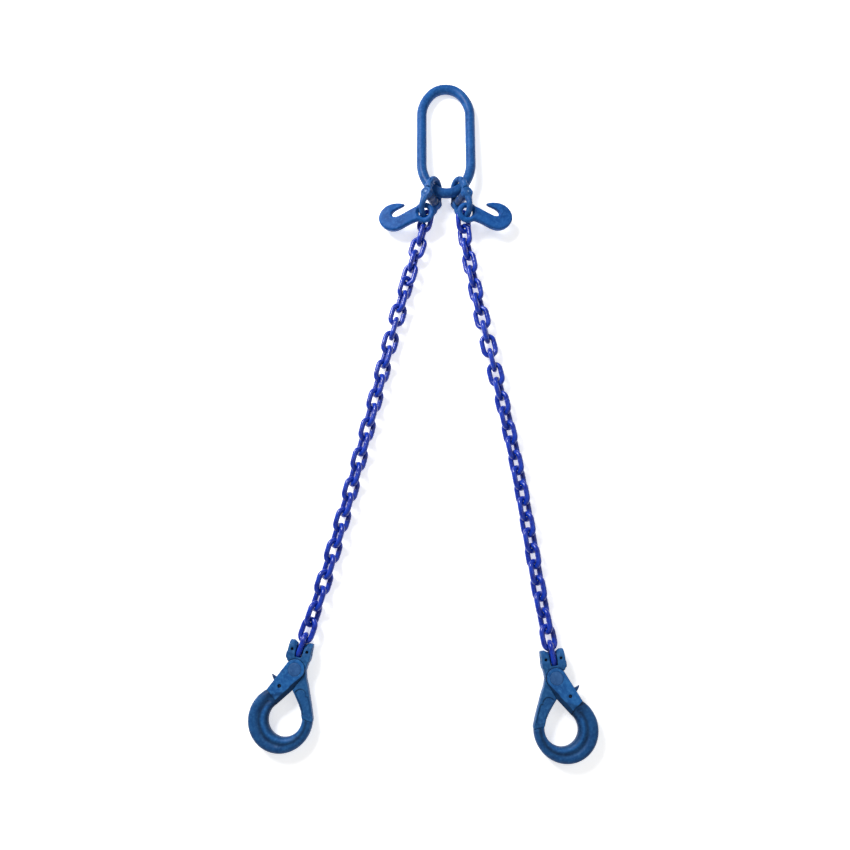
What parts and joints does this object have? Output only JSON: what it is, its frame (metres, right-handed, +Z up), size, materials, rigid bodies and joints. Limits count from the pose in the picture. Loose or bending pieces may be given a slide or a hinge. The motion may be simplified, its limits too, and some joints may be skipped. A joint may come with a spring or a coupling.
{
  "type": "two-leg chain sling",
  "caption": "chain sling lying flat: oblong master link, connecting links with shortening grab hooks, two round-link chain legs ending in self-locking clevis hooks",
  "frame": {"origin": "centre of the assembly's footprint on the floor it lies on", "axes": "+Z up from the floor, +Y towards the master link, hooks towards -Y, +X to the right seen with the master link at the top"},
  "size_m": [0.4998, 1.0832, 0.0517],
  "materials": {
    "blue_chain": "glossy blue coat over chain steel",
    "blue_paint_clevis": "satin powder coat over forged steel",
    "blue_paint_coupling": "satin powder coat over forged steel",
    "blue_paint_grab": "satin powder coat over forged steel",
    "blue_paint_hook": "satin powder coat over forged steel",
    "blue_paint_link": "satin powder coat over forged steel",
    "dark_steel": "dark steel pin",
    "rivet_blue": "painted rivet head",
    "sleeve_brass": "yellow chromated retaining sleeve",
    "spring_steel": "spring wire",
    "trigger_paint": "satin powder coat"
  },
  "bodies": {
    "master": {"master_link": "blue_paint_link"},
    "left_coupling_top": {"left_coupling_upper": "blue_paint_coupling", "left_coupling_pin": "dark_steel", "left_coupling_sleeve": "sleeve_brass"},
    "left_coupling_bottom": {"left_coupling_lower": "blue_paint_coupling"},
    "left_shortener": {"left_grab_hook": "blue_paint_grab"},
    "left_links_01_02": {"left_chain_links_01_02": "blue_chain"},
    "left_links_03_04": {"left_chain_links_03_04": "blue_chain"},
    "left_links_05_06": {"left_chain_links_05_06": "blue_chain"},
    "left_links_07_08": {"left_chain_links_07_08": "blue_chain"},
    "left_links_09_10": {"left_chain_links_09_10": "blue_chain"},
    "left_links_11_12": {"left_chain_links_11_12": "blue_chain"},
    "left_links_13_14": {"left_chain_links_13_14": "blue_chain"},
    "left_links_15_16": {"left_chain_links_15_16": "blue_chain"},
    "left_links_17_18": {"left_chain_links_17_18": "blue_chain"},
    "left_links_19_20": {"left_chain_links_19_20": "blue_chain"},
    "left_links_21_22": {"left_chain_links_21_22": "blue_chain"},
    "left_links_23_24": {"left_chain_links_23_24": "blue_chain"},
    "left_links_25_26": {"left_chain_links_25_26": "blue_chain"},
    "left_links_27_28": {"left_chain_links_27_28": "blue_chain"},
    "left_links_29_30": {"left_chain_links_29_30": "blue_chain"},
    "left_hook_top": {"left_hook_upper_body": "blue_paint_clevis", "left_hook_load_pin": "dark_steel", "left_hook_retaining_pins": "dark_steel"},
    "left_hook_jaw": {"left_hook_body": "blue_paint_hook", "left_hook_pivot_rivet": "rivet_blue", "left_hook_trigger_pin": "dark_steel", "left_hook_trigger_spring": "spring_steel"},
    "left_trigger": {"left_hook_trigger": "trigger_paint"},
    "right_coupling_top": {"right_coupling_upper": "blue_paint_coupling", "right_coupling_pin": "dark_steel", "right_coupling_sleeve": "sleeve_brass"},
    "right_coupling_bottom": {"right_coupling_lower": "blue_paint_coupling"},
    "right_shortener": {"right_grab_hook": "blue_paint_grab"},
    "right_links_01_02": {"right_chain_links_01_02": "blue_chain"},
    "right_links_03_04": {"right_chain_links_03_04": "blue_chain"},
    "right_links_05_06": {"right_chain_links_05_06": "blue_chain"},
    "right_links_07_08": {"right_chain_links_07_08": "blue_chain"},
    "right_links_09_10": {"right_chain_links_09_10": "blue_chain"},
    "right_links_11_12": {"right_chain_links_11_12": "blue_chain"},
    "right_links_13_14": {"right_chain_links_13_14": "blue_chain"},
    "right_links_15_16": {"right_chain_links_15_16": "blue_chain"},
    "right_links_17_18": {"right_chain_links_17_18": "blue_chain"},
    "right_links_19_20": {"right_chain_links_19_20": "blue_chain"},
    "right_links_21_22": {"right_chain_links_21_22": "blue_chain"},
    "right_links_23_24": {"right_chain_links_23_24": "blue_chain"},
    "right_links_25_26": {"right_chain_links_25_26": "blue_chain"},
    "right_links_27_28": {"right_chain_links_27_28": "blue_chain"},
    "right_links_29_30": {"right_chain_links_29_30": "blue_chain"},
    "right_hook_top": {"right_hook_upper_body": "blue_paint_clevis", "right_hook_load_pin": "dark_steel", "right_hook_retaining_pins": "dark_steel"},
    "right_hook_jaw": {"right_hook_body": "blue_paint_hook", "right_hook_pivot_rivet": "rivet_blue", "right_hook_trigger_pin": "dark_steel", "right_hook_trigger_spring": "spring_steel"},
    "right_trigger": {"right_hook_trigger": "trigger_paint"}
  },
  "joints": [
    {"name": "left_hook_open", "type": "hinge", "parent": "left_hook_top", "child": "left_hook_jaw", "pos_m": [-0.18438, -0.41276, 0.01357], "axis": [0, 0, -1], "range_deg": [0, 35]},
    {"name": "left_hook_swing", "type": "hinge", "parent": "left_links_29_30", "child": "left_hook_top", "pos_m": [-0.17822, -0.38647, 0.01357], "axis": [0.9736, -0.2284, 0], "range_deg": [-45, 45]},
    {"name": "left_trigger_press", "type": "hinge", "parent": "left_hook_jaw", "child": "left_trigger", "pos_m": [-0.20547, -0.43523, 0.01357], "axis": [0, 0, 1], "range_deg": [0, 8], "stiffness_Nm_per_rad": 0.04},
    {"name": "left_grab_hook_swing", "type": "hinge", "parent": "left_coupling_bottom", "child": "left_shortener", "pos_m": [-0.00107, 0.29337, 0.02991], "axis": [0.2954, -0.3728, -0.8796], "range_deg": [-9, 16]},
    {"name": "left_coupling_swing", "type": "hinge", "parent": "master", "child": "left_coupling_top", "pos_m": [0.01267, 0.34392, 0.02352], "axis": [0.649, -0.7584, 0.0604], "range_deg": [-40, 3.5]},
    {"name": "left_coupling_fold", "type": "hinge", "parent": "left_coupling_top", "child": "left_coupling_bottom", "pos_m": [0.01337, 0.32163, 0.02724], "axis": [0.4287, -0.1041, -0.8974], "range_deg": [-45, 45]},
    {"name": "left_chain_joint_01", "type": "hinge", "parent": "left_coupling_bottom", "child": "left_links_01_02", "pos_m": [0.00491, 0.29267, 0.01805], "axis": [0.5467, 0.2744, -0.7911], "range_deg": [-5, 25]},
    {"name": "left_chain_joint_02", "type": "hinge", "parent": "left_links_01_02", "child": "left_links_03_04", "pos_m": [-0.00673, 0.24881, 0.01353], "axis": [-0.1299, 0.051, 0.9902], "range_deg": [-38, 32]},
    {"name": "left_chain_joint_03", "type": "hinge", "parent": "left_links_03_04", "child": "left_links_05_06", "pos_m": [-0.01814, 0.21079, 0.01367], "axis": [0.8794, -0.2475, 0.4067], "range_deg": [-19, 14]},
    {"name": "right_hook_open", "type": "hinge", "parent": "right_hook_top", "child": "right_hook_jaw", "pos_m": [0.19144, -0.42493, 0.01357], "axis": [0, 0, 1], "range_deg": [0, 35]},
    {"name": "right_hook_swing", "type": "hinge", "parent": "right_links_29_30", "child": "right_hook_top", "pos_m": [0.18796, -0.39815, 0.01357], "axis": [-0.9917, -0.1288, 0], "range_deg": [-45, 45]},
    {"name": "right_trigger_press", "type": "hinge", "parent": "right_hook_jaw", "child": "right_trigger", "pos_m": [0.21015, -0.44942, 0.01357], "axis": [0, 0, -1], "range_deg": [0, 8], "stiffness_Nm_per_rad": 0.04},
    {"name": "right_grab_hook_swing", "type": "hinge", "parent": "right_coupling_bottom", "child": "right_shortener", "pos_m": [0.07169, 0.29184, 0.03293], "axis": [-0.3352, -0.4109, -0.8478], "range_deg": [-7, 20]},
    {"name": "right_coupling_swing", "type": "hinge", "parent": "master", "child": "right_coupling_top", "pos_m": [0.06288, 0.34392, 0.02352], "axis": [0.649, 0.7584, -0.0604], "range_deg": [-40, 3.5]},
    {"name": "right_coupling_fold", "type": "hinge", "parent": "right_coupling_top", "child": "right_coupling_bottom", "pos_m": [0.06217, 0.32163, 0.02724], "axis": [-0.4287, -0.1041, -0.8974], "range_deg": [-42, 45]},
    {"name": "right_chain_joint_01", "type": "hinge", "parent": "right_coupling_bottom", "child": "right_links_01_02", "pos_m": [0.0647, 0.29169, 0.01899], "axis": [-0.4821, 0.3941, -0.7825], "range_deg": [-20, 20]},
    {"name": "right_chain_joint_02", "type": "hinge", "parent": "right_links_01_02", "child": "right_links_03_04", "pos_m": [0.06897, 0.2466, 0.01415], "axis": [0.8541, 0.144, 0.4998], "range_deg": [-40, 40]},
    {"name": "right_chain_joint_03", "type": "hinge", "parent": "right_links_03_04", "child": "right_links_05_06", "pos_m": [0.07636, 0.20818, 0.01347], "axis": [-0.475, -0.0973, 0.8746], "range_deg": [-28, 28]},
    {"name": "left_chain_joint_04", "type": "hinge", "parent": "left_links_05_06", "child": "left_links_07_08", "pos_m": [-0.03269, 0.15759, 0.01332], "axis": [0.8364, -0.2247, -0.5], "range_deg": [-24, 29]},
    {"name": "left_chain_joint_05", "type": "hinge", "parent": "left_links_07_08", "child": "left_links_09_10", "pos_m": [-0.04264, 0.11983, 0.01357], "axis": [-0.1328, 0.0424, -0.9902], "range_deg": [-40, 40]},
    {"name": "left_chain_joint_06", "type": "hinge", "parent": "left_links_09_10", "child": "left_links_11_12", "pos_m": [-0.05628, 0.06573, 0.01287], "axis": [-0.8585, 0.2064, 0.4694], "range_deg": [-40, 40]},
    {"name": "left_chain_joint_07", "type": "hinge", "parent": "left_links_11_12", "child": "left_links_13_14", "pos_m": [-0.06571, 0.02717, 0.01237], "axis": [0.5277, -0.1349, 0.8386], "range_deg": [-40, 40]},
    {"name": "left_chain_joint_08", "type": "hinge", "parent": "left_links_13_14", "child": "left_links_15_16", "pos_m": [-0.07895, -0.02735, 0.01202], "axis": [0.8152, -0.1972, -0.5446], "range_deg": [-40, 40]},
    {"name": "left_chain_joint_09", "type": "hinge", "parent": "left_links_15_16", "child": "left_links_17_18", "pos_m": [-0.08833, -0.06592, 0.01204], "axis": [-0.5428, 0.1343, -0.829], "range_deg": [-40, 40]},
    {"name": "left_chain_joint_10", "type": "hinge", "parent": "left_links_17_18", "child": "left_links_19_20", "pos_m": [-0.10186, -0.12036, 0.01204], "axis": [-0.8127, 0.2072, 0.5446], "range_deg": [-40, 40]},
    {"name": "left_chain_joint_11", "type": "hinge", "parent": "left_links_19_20", "child": "left_links_21_22", "pos_m": [-0.1117, -0.15883, 0.01204], "axis": [0.5268, -0.1382, 0.8387], "range_deg": [-40, 40]},
    {"name": "left_chain_joint_12", "type": "hinge", "parent": "left_links_21_22", "child": "left_links_23_24", "pos_m": [-0.12603, -0.21306, 0.01204], "axis": [0.8004, -0.216, -0.5592], "range_deg": [-40, 40]},
    {"name": "left_chain_joint_13", "type": "hinge", "parent": "left_links_23_24", "child": "left_links_25_26", "pos_m": [-0.13646, -0.25137, 0.01204], "axis": [-0.5383, 0.1513, -0.829], "range_deg": [-40, 40]},
    {"name": "left_chain_joint_14", "type": "hinge", "parent": "left_links_25_26", "child": "left_links_27_28", "pos_m": [-0.15183, -0.30532, 0.01204], "axis": [-0.7731, 0.2386, 0.5878], "range_deg": [-40, 40]},
    {"name": "left_chain_joint_15", "type": "hinge", "parent": "left_links_27_28", "child": "left_links_29_30", "pos_m": [-0.1635, -0.34295, 0.01263], "axis": [0.8691, -0.2815, 0.4066], "range_deg": [-21, 12]},
    {"name": "right_chain_joint_04", "type": "hinge", "parent": "right_links_05_06", "child": "right_links_07_08", "pos_m": [0.08691, 0.15338, 0.01312], "axis": [-0.8306, -0.1713, -0.5299], "range_deg": [-40, 40]},
    {"name": "right_chain_joint_05", "type": "hinge", "parent": "right_links_07_08", "child": "right_links_09_10", "pos_m": [0.09485, 0.11492, 0.01342], "axis": [0.2042, 0.0396, -0.9781], "range_deg": [-24, 24]},
    {"name": "right_chain_joint_06", "type": "hinge", "parent": "right_links_09_10", "child": "right_links_11_12", "pos_m": [0.10672, 0.06023, 0.01354], "axis": [0.9674, 0.2115, 0.1392], "range_deg": [-40, 40]},
    {"name": "right_chain_joint_07", "type": "hinge", "parent": "right_links_11_12", "child": "right_links_13_14", "pos_m": [0.11517, 0.02204, 0.01293], "axis": [-0.4547, -0.1182, 0.8828], "range_deg": [-40, 40]},
    {"name": "right_chain_joint_08", "type": "hinge", "parent": "right_links_13_14", "child": "right_links_15_16", "pos_m": [0.12696, -0.03249, 0.01199], "axis": [-0.7288, -0.1452, -0.6691], "range_deg": [-40, 40]},
    {"name": "right_chain_joint_09", "type": "hinge", "parent": "right_links_15_16", "child": "right_links_17_18", "pos_m": [0.13481, -0.07098, 0.01174], "axis": [0.6826, 0.129, -0.7193], "range_deg": [-40, 40]},
    {"name": "right_chain_joint_10", "type": "hinge", "parent": "right_links_17_18", "child": "right_links_19_20", "pos_m": [0.14496, -0.12601, 0.01162], "axis": [0.6598, 0.1116, 0.7431], "range_deg": [-40, 40]},
    {"name": "right_chain_joint_11", "type": "hinge", "parent": "right_links_19_20", "child": "right_links_21_22", "pos_m": [0.15133, -0.16477, 0.01164], "axis": [-0.7231, -0.1094, 0.682], "range_deg": [-40, 40]},
    {"name": "right_chain_joint_12", "type": "hinge", "parent": "right_links_21_22", "child": "right_links_23_24", "pos_m": [0.1596, -0.22012, 0.01164], "axis": [-0.675, -0.0973, -0.7314], "range_deg": [-40, 40]},
    {"name": "right_chain_joint_13", "type": "hinge", "parent": "right_links_23_24", "child": "right_links_25_26", "pos_m": [0.16521, -0.25899, 0.01162], "axis": [0.6998, 0.1016, -0.7071], "range_deg": [-40, 40]},
    {"name": "right_chain_joint_14", "type": "hinge", "parent": "right_links_25_26", "child": "right_links_27_28", "pos_m": [0.17367, -0.31431, 0.01186], "axis": [0.6713, 0.1205, 0.7313], "range_deg": [-40, 40]},
    {"name": "right_chain_joint_15", "type": "hinge", "parent": "right_links_27_28", "child": "right_links_29_30", "pos_m": [0.18022, -0.35287, 0.01251], "axis": [-0.902, -0.1451, 0.4066], "range_deg": [-40, 40]}
  ]
}
